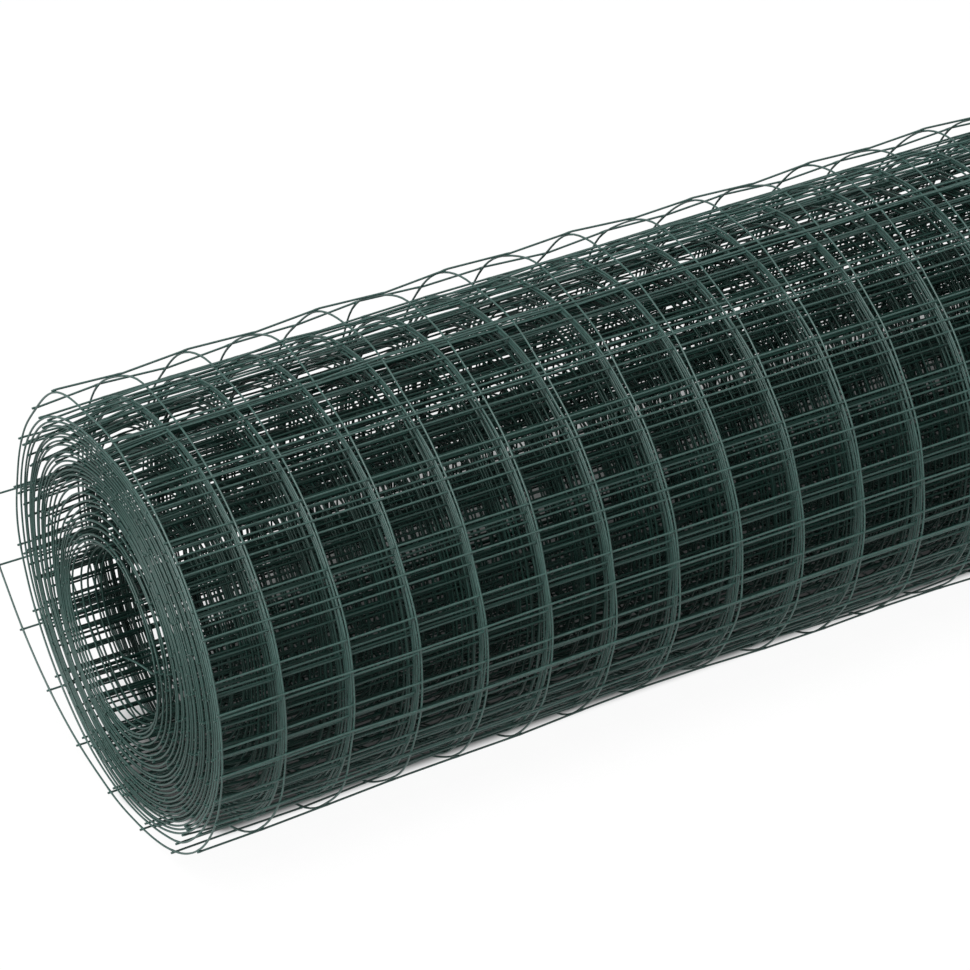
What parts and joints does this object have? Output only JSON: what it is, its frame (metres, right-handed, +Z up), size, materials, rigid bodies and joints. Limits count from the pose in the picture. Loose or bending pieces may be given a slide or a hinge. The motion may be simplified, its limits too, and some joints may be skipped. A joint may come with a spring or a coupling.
{
  "type": "roll of wire fencing",
  "caption": "Rolled-up sheet of plastic-coated welded square mesh, lying on its side, with an open bore and a loose outer lap that ends in a flap.",
  "frame": {"origin": "bottom centre of the roll's box, on the floor that it lies on", "axes": "+X along the roll, away from the end that the picture shows; -Y the front, away from the free flap; +Z up"},
  "size_m": [0.51, 0.1893, 0.1565],
  "materials": {
    "coated_wire": "semi-matt green plastic coat on steel wire"
  },
  "bodies": {
    "root": {"mesh_roll": "coated_wire"}
  },
  "joints": []
}
